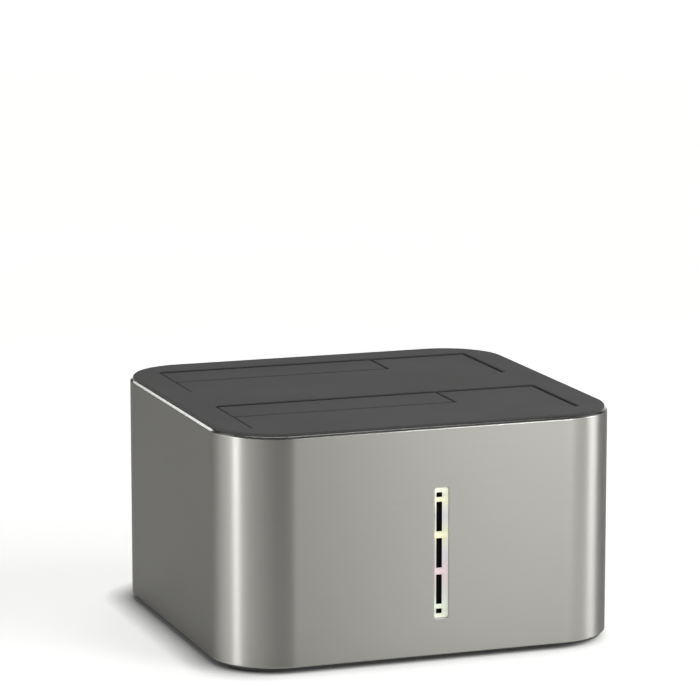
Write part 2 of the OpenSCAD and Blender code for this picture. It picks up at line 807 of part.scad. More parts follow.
// Flat package with a row of legs along two of its sides
module chip(x, y, w, d, legs) {
    leg = d / legs;
    color(chip_black) translate([x, y, main_top]) {
        translate([-w / 2, -d / 2, 0]) cube([w, d, chip_t]);
        for (i = [0:legs - 1]) translate([-w / 2 - chip_foot, (i + 0.25) * leg - d / 2, 0])
            cube([w + 2 * chip_foot, leg / 2, chip_t / 3]);
    }
}

module bridge_chip() { chip(socket_x, chip_y, bridge_w, bridge_w, 10); }
module copy_chip() { chip(copy_chip_x, chip_y, copy_w, copy_w, 8); }
module memory_chip() { chip(0, memory_y, memory_w, memory_d, 4); }

module crystal() {
    color(steel) translate([socket_x - crystal_gap, chip_y, main_top]) linear_extrude(chip_t)
        rounded_rect(crystal_w, crystal_d, crystal_w / 5);
}

// Coils: a square shield with a round core sunk in it
module power_coils() {
    shield = coil_w / 8;
    color(chip_black) for (y = [0, supply_pitch]) translate([coil_x, y, main_top]) {
        linear_extrude(coil_h) difference() {
            rounded_rect(coil_w, coil_w, shield);
            circle(coil_w / 2 - shield);
        }
        cylinder(h = coil_h - shield / 2, r = coil_w / 2 - 1.5 * shield);
        linear_extrude(shield) rounded_rect(coil_w - shield, coil_w - shield, shield / 2);
    }
}

// Capacitor cans with a crimp above the foot
module capacitors() {
    color(steel) for (y = [0, supply_pitch]) translate([can_x, y, main_top]) difference() {
        cylinder(h = can_h, r = can_r);
        translate([0, 0, can_r / 3]) rotate_extrude()
            translate([can_r + can_groove / 4, 0]) circle(can_groove);
    }
}

// Status lights behind the slot in the sleeve's front

module light_board() {
    color(board_green) translate([light_x - light_board_w / 2, light_board_y, main_top])
        cube([light_board_w, light_board_t, light_z + light_l + light_flange - main_top]);
}

module light_header() {
    color(inner_black) translate([light_x - light_board_w / 2, light_board_y + light_board_t, main_top])
        cube([light_board_w, light_header_h, light_header_h]);
}

module status_lights() {
    color("white") for (z = light_zs)
        translate([light_x - (light_w - led_w) / 2, guide_y, light_z + z]) rotate([-90, 0, 0])
            linear_extrude(led_t) square([led_w, led_l], center = true);
}

// Frosted guide: it fills the slot, with a pocket for each dark bar and dot
module light_guide() {
    front = light_sink - body_d / 2;
    color("ivory") {
        translate([light_x - light_w / 2 - light_flange, guide_y - guide_back, light_z - light_flange])
            cube([light_w + 2 * light_flange, guide_back, light_l + 2 * light_flange]);
        translate([light_x, front, light_z + light_l / 2]) difference() {
            upright(shell_wall - light_sink + cut)
                rounded_rect(light_w - fit_gap, light_l - fit_gap, light_r - fit_gap / 2);
            for (run = dark_runs)
                translate([bar_in - light_w / 2, -cut, run[0] - run[1] / 2 - light_l / 2])
                    cube([bar_w, shell_wall - light_sink + cut, run[1]]);
        }
    }
}

// Dark bars and dots that part the lights from each other
module light_mask() {
    slip = fit_gap / 2;
    left = light_x - light_w / 2 + bar_in + slip;
    color(rubber_black) for (run = dark_runs)
        translate([left, light_sink - body_d / 2, light_z + run[0] - run[1] / 2 + slip])
            cube([bar_w - 2 * slip, shell_wall - light_sink, run[1] - 2 * slip]);
}

// Back panel, ports and buttons

module rear_panel() {
    mid_z = window_z + window_h / 2;
    color(inner_black) difference() {
        union() {
            translate([-panel_w / 2, panel_y, base_top]) cube([panel_w, panel_t, panel_h]);
            translate([0, panel_y + panel_t - cut, mid_z]) upright(panel_face - panel_y - panel_t + cut)
                rounded_rect(window_w - 2 * fit_gap, window_h - 2 * fit_gap, window_r - fit_gap);
        }
        translate([inlet_x, 0, inlet_z]) rod_y(panel_y - cut, panel_hole, inlet_r + fit_gap);
        translate([power_x, 0, button_z]) rod_y(panel_y - cut, panel_hole, power_r + fit_gap);
        translate([copy_x, 0, button_z]) rod_y(panel_y - cut, panel_hole, copy_r + fit_gap);
        translate([data_x, panel_y - cut, data_z])
            upright(panel_hole) stadium(data_w + 2 * fit_gap, data_h + 2 * fit_gap);
    }
}
// Power inlet: a moulded block with a round snout, and a pin in the middle of its bore
inlet_r = 4;
inlet_wall = 0.6;
inlet_w = 2 * (inlet_r + inlet_wall);
inlet_z = main_top + inlet_w / 2;
inlet_bore_r = 2.9;
inlet_pin_r = 1.05;
inlet_l = 12.6;
inlet_depth = 9.5;
port_sink = 0.6;
inlet_face = panel_face - port_sink;

module power_inlet() {
    back = panel_y - air / 4;
    color(inner_black) translate([inlet_x, 0, inlet_z]) difference() {
        union() {
            translate([-inlet_w / 2, back - inlet_l, -inlet_w / 2]) cube([inlet_w, inlet_l, inlet_w]);
            rod_y(back - cut, inlet_face - back + cut, inlet_r);
        }
        rod_y(inlet_face - inlet_depth, inlet_depth + cut, inlet_bore_r);
    }
}

module inlet_pin() {
    color(steel) translate([inlet_x, 0, inlet_z])
        rod_y(inlet_face - inlet_depth, inlet_depth - inlet_pin_r, inlet_pin_r);
}

// Data socket: a thin metal shell with round ends, and the tongue inside it
data_w = 8.94;
data_h = 3.26;
data_wall = 0.3;
data_l = 8;
data_floor = 1;
data_tongue_w = 6.7;
data_tongue_t = 0.7;
data_z = main_top + data_h / 2;
data_y = panel_face - port_sink - data_l;

module data_socket() {
    color(steel) translate([data_x, data_y, data_z]) difference() {
        upright(data_l) stadium(data_w, data_h);
        translate([0, data_floor, 0]) upright(data_l)
            stadium(data_w - 2 * data_wall, data_h - 2 * data_wall);
    }
}

module data_tongue() {
    color(inner_black) translate([data_x, data_y + data_floor, data_z])
        upright(data_l - data_floor - port_sink) square([data_tongue_w, data_tongue_t], center = true);
}

// Switch block on the main board, with a bore for its button's stem
module switch_block(x) {
    color(chip_black) translate([x, switch_y - switch_l, main_top]) difference() {
        translate([-switch_w / 2, 0, 0]) cube([switch_w, switch_l, button_z - main_top + switch_w / 2]);
        translate([0, 0, button_z - main_top]) rod_y(switch_l / 5, switch_l, stem_r + fit_gap);
    }
}

// Button: a cap in the panel, a flange that holds it there, and a stem into the switch
module button(x, r) {
    flange_y = panel_y - air / 4 - flange_t;
    color(cover_grey) translate([x, 0, button_z]) {
        rotate([-90, 0, 0]) rotate_extrude() polygon([[0, flange_y], [r + flange_r, flange_y],
            [r + flange_r, flange_y + flange_t], [r, flange_y + flange_t],
            [r, panel_face + button_proud - cap_bevel], [r - cap_bevel, panel_face + button_proud],
            [0, panel_face + button_proud]]);
        rod_y(flange_y - stem_l, stem_l + cut, stem_r);
    }
}

module power_switch() { switch_block(power_x); }
module power_button() { button(power_x, power_r); }
module copy_switch() { switch_block(copy_x); }
module copy_button() { button(copy_x, copy_r); }

outer_shell();
top_cover();
base_plate();
rubber_feet();
tie_posts();
base_screws();
front_bay_well();
rear_bay_well();
well_screws();
front_large_flap();
front_small_flap();
rear_large_flap();
rear_small_flap();
front_large_pin();
front_small_pin();
rear_large_pin();
rear_small_pin();
front_large_spring();
front_small_spring();
rear_large_spring();
rear_small_spring();
connector_board();
connector_screws();
front_drive_socket();
rear_drive_socket();
front_contacts();
rear_contacts();
board_header();
main_board();
main_screws();
bridge_chip();
copy_chip();
memory_chip();
crystal();
power_coils();
capacitors();
light_board();
light_header();
status_lights();
light_guide();
light_mask();
rear_panel();
power_inlet();
inlet_pin();
data_socket();
data_tongue();
power_switch();
power_button();
copy_switch();
copy_button();
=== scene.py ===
import json
import math
import bmesh
import bpy
import numpy as np
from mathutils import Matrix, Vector


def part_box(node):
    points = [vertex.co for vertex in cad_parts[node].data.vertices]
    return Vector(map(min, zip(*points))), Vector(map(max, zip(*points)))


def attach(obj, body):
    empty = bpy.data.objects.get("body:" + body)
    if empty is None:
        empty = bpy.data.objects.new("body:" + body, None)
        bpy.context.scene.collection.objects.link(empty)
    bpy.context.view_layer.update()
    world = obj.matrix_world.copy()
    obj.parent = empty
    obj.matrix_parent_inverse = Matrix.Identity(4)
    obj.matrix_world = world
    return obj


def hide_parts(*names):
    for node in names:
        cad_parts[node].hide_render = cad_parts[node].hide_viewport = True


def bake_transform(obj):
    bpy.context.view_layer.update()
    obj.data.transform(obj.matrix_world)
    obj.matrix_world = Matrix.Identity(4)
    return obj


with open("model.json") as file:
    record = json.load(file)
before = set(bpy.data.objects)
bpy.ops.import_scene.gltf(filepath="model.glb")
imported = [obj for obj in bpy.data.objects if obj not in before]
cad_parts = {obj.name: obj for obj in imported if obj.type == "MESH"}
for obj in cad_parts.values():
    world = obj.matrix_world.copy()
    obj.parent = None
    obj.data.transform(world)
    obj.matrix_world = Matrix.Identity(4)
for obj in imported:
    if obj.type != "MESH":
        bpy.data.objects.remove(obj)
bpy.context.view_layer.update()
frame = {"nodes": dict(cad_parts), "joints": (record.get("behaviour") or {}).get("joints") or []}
nodes = frame["nodes"]
joints = {j["child"]: j for j in frame["joints"]}
scene = bpy.context.scene
scene.view_settings.view_transform = "Standard"
mm = 0.001
sharpAngle = math.radians(32)  # steeper edges stay crisp
weldWithin = 1e-7  # closer points become one, in metres
print("frame loaded:", len(nodes), "nodes")


# Mesh helpers

def smoothShade(mesh):
    mesh.polygons.foreach_set("use_smooth", [True] * len(mesh.polygons))
    mesh.set_sharp_from_angle(angle=sharpAngle)


def meshObject(name, verts, faces):
    mesh = bpy.data.meshes.new(name)
    mesh.from_pydata(np.asarray(verts).tolist(), [], [list(f) for f in faces])
    mesh.update()
    smoothShade(mesh)
    obj = bpy.data.objects.new(name, mesh)
    scene.collection.objects.link(obj)
    return obj


# Quads of a grid whose columns close into a ring, and its rows too where closeRows is set
def gridFaces(rows, cols, closeRows=False):
    i, j = np.meshgrid(np.arange(rows if closeRows else rows - 1), np.arange(cols), indexing="ij")
    nextRow = (i + 1) % rows
    nextCol = (j + 1) % cols
    quads = [i * cols + j, nextRow * cols + j, nextRow * cols + nextCol, i * cols + nextCol]
    return np.stack(quads, -1).reshape(-1, 4)


# Faces of a tube: the quads between its rings, and one face across each end
def tubeFaces(rings, sides):
    end = np.arange(sides)
    caps = [end[::-1].tolist(), (end + (rings - 1) * sides).tolist()]
    return gridFaces(rings, sides)[:, ::-1].tolist() + caps


def unit(v):
    return v / np.linalg.norm(v, axis=-1, keepdims=True)


# A polygon whose corners become arcs of their own radius. Each arc's middle lies r / sin(half the corner's
# angle) along the line that halves the corner, and the arc runs from one touching point to the other
def roundedProfile(points, radii, steps=5):
    p = np.array(points, float)
    r = np.array(radii)[:, None]
    u = unit(np.roll(p, 1, 0) - p)
    v = unit(np.roll(p, -1, 0) - p)
    half = np.arccos(np.clip((u * v).sum(1), -1, 1))[:, None] / 2
    middle = p + unit(u + v) * r / np.sin(half)
    a = p + u * r / np.tan(half) - middle
    b = p + v * r / np.tan(half) - middle
    t = np.linspace(0, 1, steps + 1)[:, None]
    arcs = middle[:, None] + unit(a[:, None] * (1 - t) + b[:, None] * t) * r[:, None]
    return arcs.reshape(-1, 2)


# Points and outward normals round a rectangle with round corners, going round from the front right:
# point = corner's centre + r * (cos a, sin a). A support point on the straight side flanks each end of an arc
def roundedRect(w, d, r, cornerSteps, support=0.0):
    a = np.radians(90 * np.arange(-1, 3)[:, None] + np.linspace(0, 90, cornerSteps + 1))
    normal = np.stack([np.cos(a), np.sin(a)], -1)
    along = np.stack([-np.sin(a), np.cos(a)], -1)
    centre = np.array([(1, -1), (1, 1), (-1, 1), (-1, -1)]) * (np.array([w, d]) / 2 - r)
    arc = centre[:, None] + r * normal
    points = [arc[:, :1] - along[:, :1] * support, arc, arc[:, -1:] + along[:, -1:] * support]
    normals = [normal[:, :1], normal, normal[:, -1:]]
    return np.concatenate(points, 1).reshape(-1, 2), np.concatenate(normals, 1).reshape(-1, 2)


def faceOut(obj):
    b = bmesh.new()
    b.from_mesh(obj.data)
    bmesh.ops.remove_doubles(b, verts=b.verts, dist=weldWithin)
    bmesh.ops.recalc_face_normals(b, faces=b.faces)
    b.to_mesh(obj.data)
    b.free()


def cutWith(obj, cutters):
    for c in cutters:
        faceOut(c)
        m = obj.modifiers.new("cut", "BOOLEAN")
        m.operation, m.solver, m.object = "DIFFERENCE", "EXACT", c
    cut = bpy.data.meshes.new_from_object(obj.evaluated_get(bpy.context.evaluated_depsgraph_get()))
    obj.modifiers.clear()
    obj.data = cut
    smoothShade(cut)
    for c in cutters:
        bpy.data.objects.remove(c)


# Shader helpers

def nodeGroup(name, inputs, outputs):
    g = bpy.data.node_groups.new(name, "ShaderNodeTree")
    for label, kind, value in inputs:
        s = g.interface.new_socket(label, in_out="INPUT", socket_type=kind)
        s.default_value = value
    for label, kind in outputs:
        g.interface.new_socket(label, in_out="OUTPUT", socket_type=kind)
    return g, g.nodes.new("NodeGroupInput"), g.nodes.new("NodeGroupOutput")


# A socket is linked, and any other value is set on the input itself
def feed(tree, node, values):
    for k, v in values.items():
        if isinstance(v, bpy.types.NodeSocket):
            tree.links.new(v, node.inputs[k])
        else:
            node.inputs[k].default_value = v


def add(tree, kind, inputs=None, **settings):
    n = tree.nodes.new(kind)
    for k, v in settings.items():
        setattr(n, k, v)
    feed(tree, n, inputs or {})
    return n


# Screen colour, 0 to 255, as linear light
def linear(r, g, b):
    c = np.array([r, g, b]) / 255
    return (*np.where(c <= 0.04045, c / 12.92, ((c + 0.055) / 1.055) ** 2.4), 1.0)


def grey(value):
    return (value, value, value, 1.0)


def objectPlace(tree):
    return add(tree, "ShaderNodeTexCoord").outputs["Object"]


def noise(tree, place, scale, detail):
    return add(tree, "ShaderNodeTexNoise", {"Vector": place, "Scale": scale, "Detail": detail}).outputs[0]


def mathNode(tree, op, *values):
    return add(tree, "ShaderNodeMath", dict(enumerate(values)), operation=op).outputs[0]


def mapRange(tree, value, fromLow, fromHigh, toLow=0.0, toHigh=1.0):
    inputs = dict(enumerate((value, fromLow, fromHigh, toLow, toHigh)))
    return add(tree, "ShaderNodeMapRange", inputs).outputs[0]


# Sockets 6 and 7 and output 2 are the Mix node's colours
def mixColour(tree, fac, a, b):
    return add(tree, "ShaderNodeMix", {0: fac, 6: a, 7: b}, data_type="RGBA").outputs[2]


# Colour ramp through a table of places and colours; a new ramp has its first two stops already
def stops(tree, fac, table):
    node = add(tree, "ShaderNodeValToRGB", {0: fac})
    for k, (at, value) in enumerate(table):
        e = node.color_ramp.elements[k] if k < 2 else node.color_ramp.elements.new(at)
        e.position = at
        e.color = value if isinstance(value, tuple) else grey(value)
    return node


# Edges that are rubbed: where the softened normal leans away from the true one, by the cosine between them
rubbed = dict(start=0.999, full=0.86, samples=4)


def edgeMask(tree, radius):
    soft = add(tree, "ShaderNodeBevel", {"Radius": radius}, samples=rubbed["samples"]).outputs[0]
    flat = add(tree, "ShaderNodeNewGeometry").outputs["Normal"]
    facing = add(tree, "ShaderNodeVectorMath", {0: soft, 1: flat}, operation="DOT_PRODUCT").outputs["Value"]
    return soft, mapRange(tree, facing, rubbed["start"], rubbed["full"])


# Moulded surface: a fine pebble grain with slow drift in tone, edges that catch the light, and painted shade
# in the seams, where ambient occlusion darkens the colour
moulding = dict(drift=38.0, rub=240.0, fineShare=0.4, slowShare=0.6, height=0.00012, seam=(0.95, 0.55),
                seamSamples=6, seamShade=linear(14, 14, 14))
grainGroup, groupIn, groupOut = nodeGroup(
    "mouldedGrain",
    [("Grain", "NodeSocketFloat", 2600.0), ("Depth", "NodeSocketFloat", 0.2),
     ("Edge", "NodeSocketFloat", 0.00025), ("Reach", "NodeSocketFloat", 0.0012)],
    [("Tone", "NodeSocketFloat"), ("Wear", "NodeSocketFloat"), ("Seam", "NodeSocketFloat"),
     ("Normal", "NodeSocketVector")])
t = grainGroup
given = groupIn.outputs
place = objectPlace(t)
fine = noise(t, place, given["Grain"], 2.0)
slow = noise(t, place, moulding["drift"], 3.0)
rub = noise(t, place, moulding["rub"], 4.0)
soft, edge = edgeMask(t, given["Edge"])
# Painted shade: ambient occlusion finds the seams and gaps between parts, and the colour is darkened there
clear = add(t, "ShaderNodeAmbientOcclusion", {"Distance": given["Reach"]}, samples=moulding["seamSamples"])
fineTone = mathNode(t, "MULTIPLY", fine, moulding["fineShare"])
bump = add(t, "ShaderNodeBump", {"Strength": given["Depth"], "Distance": moulding["height"],
                                 "Height": fine, "Normal": soft})
feed(t, groupOut, {"Tone": mathNode(t, "MULTIPLY_ADD", slow, moulding["slowShare"], fineTone),
                   "Wear": mathNode(t, "MULTIPLY", edge, rub),
                   "Seam": mapRange(t, clear.outputs["AO"], *moulding["seam"]),
                   "Normal": bump.outputs[0]})

# Drawn or brushed metal: noise stretched along one direction, with a slow drift in tone
brushing = dict(drift=22.0, lineShare=0.6, slowShare=0.4, height=0.00005)
brushGroup, groupIn, groupOut = nodeGroup(
    "brushedMetal",
    [("Stretch", "NodeSocketVector", (40.0, 40.0, 4000.0)), ("Depth", "NodeSocketFloat", 0.05),
     ("Edge", "NodeSocketFloat", 0.0002)],
    [("Tone", "NodeSocketFloat"), ("Wear", "NodeSocketFloat"), ("Normal", "NodeSocketVector")])
t = brushGroup
given = groupIn.outputs
place = objectPlace(t)
along = add(t, "ShaderNodeVectorMath", {0: place, 1: given["Stretch"]}, operation="MULTIPLY").outputs[0]
lines = noise(t, along, 1.0, 3.0)
slow = noise(t, place, brushing["drift"], 2.0)
soft, edge = edgeMask(t, given["Edge"])
slowTone = mathNode(t, "MULTIPLY", slow, brushing["slowShare"])
bump = add(t, "ShaderNodeBump", {"Strength": given["Depth"], "Distance": brushing["height"],
                                 "Height": lines, "Normal": soft})
feed(t, groupOut, {"Tone": mathNode(t, "MULTIPLY_ADD", lines, brushing["lineShare"], slowTone),
                   "Wear": edge,
                   "Normal": bump.outputs[0]})

toneSpan = (0.3, 0.7)  # what a noise tone mostly stays within


def newMaterial(name):
    m = bpy.data.materials.new(name)
    m.use_nodes = True
    tree = m.node_tree
    return m, tree, tree.nodes["Principled BSDF"]


def plastic(name, dark, light, worn, rough=(0.42, 0.58), grain=2600.0, depth=0.2, edge=0.00025, specular=0.5):
    m, tree, bsdf = newMaterial(name)
    surface = {"Grain": grain, "Depth": depth, "Edge": edge}
    g = add(tree, "ShaderNodeGroup", surface, node_tree=grainGroup).outputs
    body = mixColour(tree, g["Wear"], mixColour(tree, g["Tone"], dark, light), worn)
    # Painted shade: the colour goes towards near-black in the seams that ambient occlusion finds
    feed(tree, bsdf, {"Base Color": mixColour(tree, g["Seam"], body, moulding["seamShade"]),
                      "Roughness": mapRange(tree, g["Tone"], *toneSpan, *rough),
                      "Specular IOR Level": specular,
                      "Normal": g["Normal"]})
    return m


def metal(name, dark, light, worn, rough=(0.25, 0.4), stretch=(60.0, 60.0, 3000.0), depth=0.05, edge=0.0002):
    m, tree, bsdf = newMaterial(name)
    surface = {"Stretch": stretch, "Depth": depth, "Edge": edge}
    g = add(tree, "ShaderNodeGroup", surface, node_tree=brushGroup).outputs
    body = mixColour(tree, g["Tone"], dark, light)
    feed(tree, bsdf, {"Base Color": mixColour(tree, g["Wear"], body, worn),
                      "Roughness": mapRange(tree, g["Tone"], *toneSpan, *rough),
                      "Metallic": 1.0,
                      "Normal": g["Normal"]})
    return m


# Satin sleeve: the fine lines run level round the body, so lights smear upright on it
sleeveMetal = metal("sleeveMetal", linear(144, 143, 139), linear(157, 156, 152), linear(212, 212, 208),
                    rough=(0.42, 0.48), stretch=(30.0, 30.0, 5200.0), depth=0.03, edge=0.0003)
tree = sleeveMetal.node_tree
tangent = add(tree, "ShaderNodeTangent", direction_type="RADIAL", axis="Z")
feed(tree, tree.nodes["Principled BSDF"], {"Anisotropic": 0.95, "Anisotropic Rotation": 0.25,
                                           "Specular Tint": grey(0.63), "Tangent": tangent.outputs[0]})

# Cut and polished bevel round the sleeve's top edge
rimMetal = metal("rimMetal", linear(206, 206, 203), linear(222, 222, 219), linear(236, 236, 232),
                 rough=(0.16, 0.24), stretch=(900.0, 900.0, 900.0), depth=0.01)

# Moulded pieces
coverPlastic = plastic("coverPlastic", linear(52, 52, 52), linear(63, 63, 62), linear(92, 92, 90),
                       rough=(0.66, 0.78), grain=3000.0, depth=0.25, specular=0.3)
innerPlastic = plastic("innerPlastic", linear(30, 30, 31), linear(40, 40, 41), linear(62, 62, 62))
rubberBlack = plastic("rubberBlack", linear(20, 20, 20), linear(29, 29, 29), linear(44, 44, 43),
                      rough=(0.7, 0.85), grain=1500.0, depth=0.4, edge=0.0004)
buttonPlastic = plastic("buttonPlastic", linear(52, 52, 53), linear(62, 62, 62), linear(96, 96, 95),
                        rough=(0.38, 0.5), edge=0.0003)
chipPlastic = plastic("chipPlastic", linear(24, 24, 26), linear(36, 36, 38), linear(70, 70, 72),
                      rough=(0.5, 0.65))

# Dull black bars between the lights
maskBlack = plastic("maskBlack", linear(3, 3, 3), linear(8, 8, 8), linear(16, 16, 16), rough=(0.45, 0.6),
                    grain=900.0, depth=0.05, edge=0.00012, specular=0.02)

# Small metal pieces
turnedSteel = metal("turnedSteel", linear(176, 177, 180), linear(206, 207, 209), linear(238, 238, 238),
                    stretch=(3000.0, 40.0, 40.0))
screwSteel = metal("screwSteel", linear(150, 151, 152), linear(178, 178, 178), linear(220, 220, 220),
                   rough=(0.3, 0.5), stretch=(900.0, 900.0, 900.0))
springSteel = metal("springSteel", linear(150, 151, 155), linear(190, 191, 194), linear(230, 230, 232),
                    rough=(0.22, 0.36), stretch=(1800.0, 1800.0, 1800.0))
canMetal = metal("canMetal", linear(190, 190, 192), linear(212, 212, 213), linear(240, 240, 240),
                 stretch=(40.0, 40.0, 2600.0))
contactGold = metal("contactGold", linear(202, 158, 74), linear(226, 186, 104), linear(250, 226, 160),
                    rough=(0.18, 0.3), stretch=(1200.0, 1200.0, 60.0))

# Coated board: green lacquer over a net of fine raised tracks
coating = dict(tracks=90.0, trackWidth=0.03, speck=700.0, rough=(0.28, 0.42), relief=0.3, height=0.00006,
               dark=linear(12, 66, 40), light=linear(22, 92, 58), track=linear(52, 128, 84))
boardGreen, tree, bsdf = newMaterial("boardGreen")
place = objectPlace(tree)
tracks = add(tree, "ShaderNodeTexBrick", {"Vector": place, "Scale": coating["tracks"],
                                          "Mortar Size": coating["trackWidth"], "Color1": grey(0),
                                          "Color2": grey(0), "Mortar": grey(1)}).outputs["Fac"]
speck = noise(tree, place, coating["speck"], 3.0)
lacquer = mixColour(tree, speck, coating["dark"], coating["light"])
bump = add(tree, "ShaderNodeBump", {"Strength": coating["relief"], "Distance": coating["height"],
                                    "Height": tracks})
feed(tree, bsdf, {"Base Color": mixColour(tree, tracks, lacquer, coating["track"]),
                  "Roughness": mapRange(tree, speck, *toneSpan, *coating["rough"]),
                  "Normal": bump.outputs[0]})

# Opening for the lights in the sleeve's front, in mm
lightSlot = dict(x=2.85, low=13.2, width=4.4, height=39.4, r=0.8, edge=0.25)

# Frosted light guide: its glow changes colour up the slot, and is strongest in front of the lights on its
# left. The strip glows all over, the lamps add to it, and farSide is what reaches the right of theirs.
# Places in the tables are shares of the slot's height
glowing = dict(strip=0.55, lamp=0.5, farSide=0.15, frost=1800.0, frostTone=linear(138, 138, 135),
               dimple=0.15, dimpleHeight=0.0001,
               tints=[(0.0, linear(226, 232, 210)), (0.09, linear(224, 234, 210)),
                      (0.2, linear(224, 223, 220)), (0.36, linear(236, 204, 211)),
                      (0.5, linear(225, 224, 230)), (0.64, linear(250, 250, 190)),
                      (0.78, linear(225, 224, 232)), (0.91, linear(246, 246, 200)),
                      (1.0, linear(250, 250, 222))],
               lamps=[(0.02, 0.8), (0.055, 0.1), (0.09, 0.7), (0.2, 0.0), (0.33, 0.1), (0.36, 0.5),
                      (0.39, 0.1), (0.5, 0.0), (0.61, 0.1), (0.64, 1.0), (0.67, 0.1), (0.8, 0.0),
                      (0.91, 0.8), (0.945, 0.1), (0.98, 1.0)])


def glow(name, albedo, strength, roughness):
    m, tree, bsdf = newMaterial(name)
    place = objectPlace(tree)
    axis = add(tree, "ShaderNodeSeparateXYZ", {0: place}).outputs
    low, high = lightSlot["low"], lightSlot["low"] + lightSlot["height"]
    left, right = lightSlot["x"] - lightSlot["width"] / 2, lightSlot["x"] + lightSlot["width"] / 2
    level = mapRange(tree, axis["Z"], low * mm, high * mm)
    side = mapRange(tree, axis["X"], left * mm, right * mm, 1.0, glowing["farSide"])
    tint = stops(tree, level, glowing["tints"]).outputs[0]
    lamp = mathNode(tree, "MULTIPLY", stops(tree, level, glowing["lamps"]).outputs[0], side)
    power = mathNode(tree, "MULTIPLY_ADD", lamp, glowing["lamp"], glowing["strip"])
    shine = add(tree, "ShaderNodeVectorMath", {0: tint, "Scale": power}, operation="SCALE").outputs[0]
    frost = noise(tree, place, glowing["frost"], 2.0)
    bump = add(tree, "ShaderNodeBump", {"Strength": glowing["dimple"], "Distance": glowing["dimpleHeight"],
                                        "Height": frost})
    feed(tree, bsdf, {"Base Color": mixColour(tree, frost, albedo, glowing["frostTone"]),
                      "Emission Color": shine,
                      "Emission Strength": strength,
                      "Roughness": roughness,
                      "Normal": bump.outputs[0]})
    return m


guideGlow = glow("guideGlow", linear(120, 120, 117), 1.0, 0.35)
lampGlow = glow("lampGlow", linear(130, 130, 125), 2.0, 0.4)
print("materials ready")


# Sleeve: the wall's profile, carried round a rectangle with round corners:
# surface(u, v) = outline(u) - depth(v) * outward normal(u) + height(v) * up
sleeve = dict(wall=1.6, corner=20.0, bevel=0.7, foot=0.3, support=0.6, cornerSteps=40,
              radii=[0.25, 0.3, 0.2, 0.12, 0.1, 0.2])
lo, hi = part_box("outer_shell")
low, high = lo.z, hi.z
wall, bevel, foot = (sleeve[k] * mm for k in ("wall", "bevel", "foot"))
outline, outward = roundedRect(hi.x - lo.x, hi.y - lo.y, sleeve["corner"] * mm, sleeve["cornerSteps"],
                               sleeve["support"] * mm)
profile = roundedProfile(
    [(0, low + foot), (0, high - bevel), (bevel, high), (wall, high), (wall, low), (foot, low)],
    np.array(sleeve["radii"]) * mm)
across = outline[:, None] - profile[:, :1] * outward[:, None]
upright = np.broadcast_to(profile[:, 1:], (len(outline), len(profile), 1))
verts = np.concatenate([across, upright], -1).reshape(-1, 3)
shell = meshObject("sleeve", verts, gridFaces(len(outline), len(profile), closeRows=True))

window = dict(x=0.0, low=6.0, width=68.0, height=14.0, r=2.0, edge=0.3)  # opening for the back panel, in mm
cutter = dict(proud=0.5, deep=2.5, cornerSteps=8)


# Cutter for an opening in an upright wall, wider at the face for a bevelled edge:
# surface(u, v) = outline(u) + widening(v) * outward normal(u) + depth(v) * inward along Y
def wallCutter(name, opening, face, inward):
    w, h, r, edge = (opening[k] * mm for k in ("width", "height", "r", "edge"))
    proud, deep = cutter["proud"] * mm, cutter["deep"] * mm
    ring, out = roundedRect(w, h, r, cutter["cornerSteps"])
    widening = np.array([proud + edge, 0, 0])
    depth = np.array([-proud, edge, deep])
    wide = ring + out * widening[:, None, None]
    x = opening["x"] * mm + wide[..., 0]
    y = np.broadcast_to(face + inward * depth[:, None], x.shape)
    z = opening["low"] * mm + h / 2 + wide[..., 1]
    return meshObject(name, np.stack([x, y, z], -1).reshape(-1, 3), tubeFaces(*x.shape))


cutWith(shell, [wallCutter("slotCut", lightSlot, lo.y, 1), wallCutter("windowCut", window, hi.y, -1)])
shell.data.materials.clear()
shell.data.materials.append(sleeveMetal)
shell.data.materials.append(rimMetal)
centres = np.zeros(3 * len(shell.data.polygons))
shell.data.polygons.foreach_get("center", centres)
shell.data.polygons.foreach_set("material_index", (centres[2::3] > high - bevel).astype(int))
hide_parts("outer_shell")
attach(shell, "housing")
print("sleeve:", len(shell.data.polygons), "faces")


# Torsion springs: a round wire along a helix about the pin, with a straight leg at each end:
# point(a) = (pitch * a / turn, r cos a, r sin a), and the ring about it lies in its normal plane
spring = dict(turns=5, pitch=1.0, r=1.6, wire=0.5, flapLeg=9.0, coverLeg=1.7, flapRise=2.4, coverRise=2.2,
              gap=0.05, turnSteps=24, coverLegSteps=5, flapLegSteps=9, legStart=0.1, sides=12)


def wirePath(s):
    rise = s["r"] + s["wire"] / 2 + s["gap"]
    flapLean = math.asin((s["flapRise"] - rise) / s["flapLeg"])
    coverLean = math.asin((s["coverRise"] - rise) / s["coverLeg"])
    start = math.pi / 2 + coverLean
    end = math.pi / 2 - flapLean + 2 * math.pi * s["turns"]
    a = np.linspace(start, end, s["turnSteps"] * s["turns"] + 1)
    x = s["pitch"] * ((a - start) / (2 * math.pi) - s["turns"] / 2)
    coil = np.stack([x, s["r"] * np.cos(a), s["r"] * np.sin(a)], 1)
    first = np.array([0, math.sin(start), -math.cos(start)])
    last = np.array([0, -math.sin(end), math.cos(end)])
    headLeg = coil[0] + first * np.linspace(s["coverLeg"], s["legStart"], s["coverLegSteps"])[:, None]
    tailLeg = coil[-1] + last * np.linspace(s["legStart"], s["flapLeg"], s["flapLegSteps"])[:, None]
    return np.concatenate([headLeg, coil, tailLeg])


# Round wire: ring(a) = path + radius * (cos a * side + sin a * other), both square to the path's heading
def tube(path, radius, sides):
    heading = unit(np.gradient(path, axis=0))
    side = unit(np.array([1.0, 0, 0]) - heading[:, :1] * heading)
    other = np.cross(heading, side)
    a = np.linspace(0, 2 * math.pi, sides, endpoint=False)[:, None]
    rings = path[:, None] + radius * (np.cos(a) * side[:, None] + np.sin(a) * other[:, None])
    return rings.reshape(-1, 3), tubeFaces(len(path), sides)


